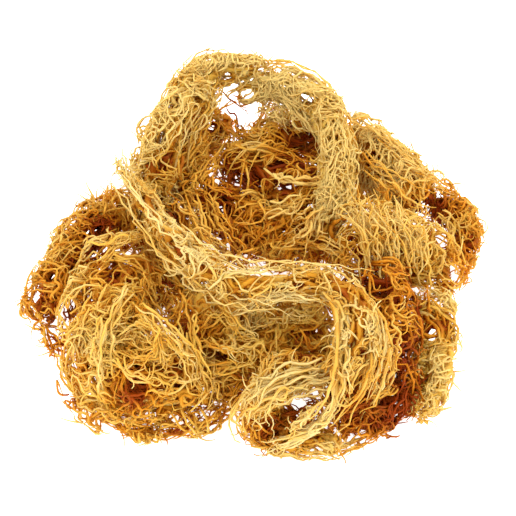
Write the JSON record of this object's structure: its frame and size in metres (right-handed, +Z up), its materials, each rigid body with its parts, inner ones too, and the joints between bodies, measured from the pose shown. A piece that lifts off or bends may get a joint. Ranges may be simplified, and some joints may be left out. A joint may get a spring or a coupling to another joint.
{
  "type": "irish moss seaweed",
  "caption": "A dried irish moss heap: thin, springy, branching golden fronds curled into tangled bunches, with arched ones round a hollow middle, lying loose on a surface.",
  "frame": {"origin": "middle of the heap's bounding box in X and Y, on the surface that it lies on", "axes": "+Z up; +X to the right as the heap is seen from its front; +Y to its back, where the arch is"},
  "size_m": [0.1716, 0.166, 0.0519],
  "materials": {
    "seaweed_gold": "dry, slightly waxy, golden yellow strands",
    "seaweed_amber": "dry, slightly waxy, orange-brown strands",
    "seaweed_cream": "dry, waxy, pale cream-gold strands"
  },
  "bodies": {
    "root": {"frond_back_left": "seaweed_amber", "frond_back_right": "seaweed_amber", "frond_centre": "seaweed_gold", "frond_far_left": "seaweed_amber", "frond_front_loop": "seaweed_cream", "frond_front_right": "seaweed_amber", "frond_front_sweep": "seaweed_cream", "frond_hollow": "seaweed_amber", "frond_left_arch": "seaweed_gold", "frond_left_ball": "seaweed_gold", "frond_middle": "seaweed_amber", "frond_right_arch": "seaweed_gold", "frond_right_brush": "seaweed_gold", "frond_right_low": "seaweed_gold", "frond_right_tip": "seaweed_amber"}
  },
  "joints": []
}
